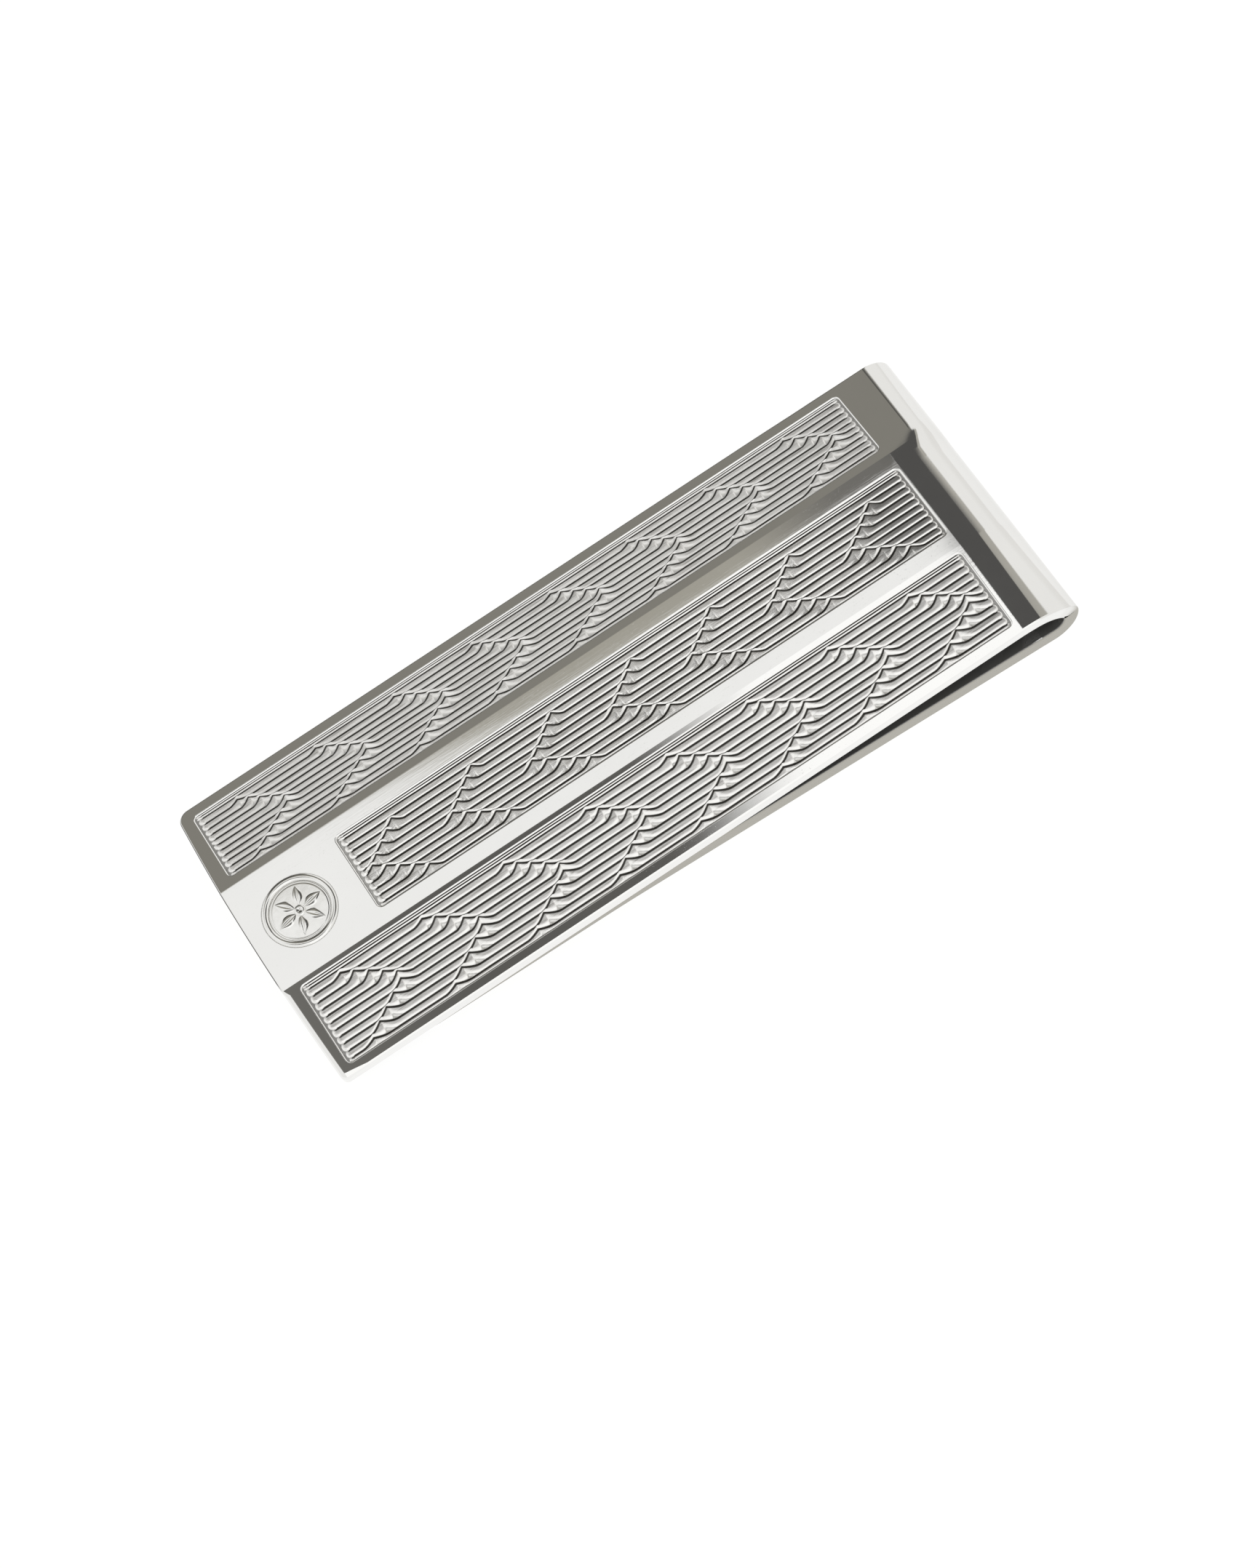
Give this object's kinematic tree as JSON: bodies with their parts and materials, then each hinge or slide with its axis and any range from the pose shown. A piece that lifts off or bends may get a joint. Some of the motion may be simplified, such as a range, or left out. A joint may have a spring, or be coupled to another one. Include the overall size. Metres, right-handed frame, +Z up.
{
  "type": "money clip",
  "caption": "Folded spring money clip with a faceted front leg, engraved geometric panels, a round emblem and a flat back leg.",
  "frame": {"origin": "bottom centre of the clip's bounding box, lying on its back leg", "axes": "+X from the open end to the fold, +Y across the clip, +Z up through the front face"},
  "size_m": [0.058, 0.0232, 0.0051],
  "materials": {
    "polished_plate": "polished",
    "engraved_panel": "engraved, bright",
    "emblem_metal": "polished"
  },
  "bodies": {
    "back": {"back_leg": "polished_plate", "fold_lower": "polished_plate"},
    "front": {"front_plate": "polished_plate", "fold_upper": "polished_plate", "panel_upper": "engraved_panel", "panel_centre": "engraved_panel", "panel_lower": "engraved_panel", "emblem_ring": "emblem_metal", "emblem_disc": "emblem_metal", "emblem_rosette": "emblem_metal"}
  },
  "joints": [
    {"name": "leg_flex", "type": "hinge", "parent": "back", "child": "front", "pos_m": [0.02899, 0, 0.00209], "axis": [0, 1, 0], "range_deg": [0, 6], "stiffness_Nm_per_rad": 2, "springref_deg": -5.73}
  ]
}
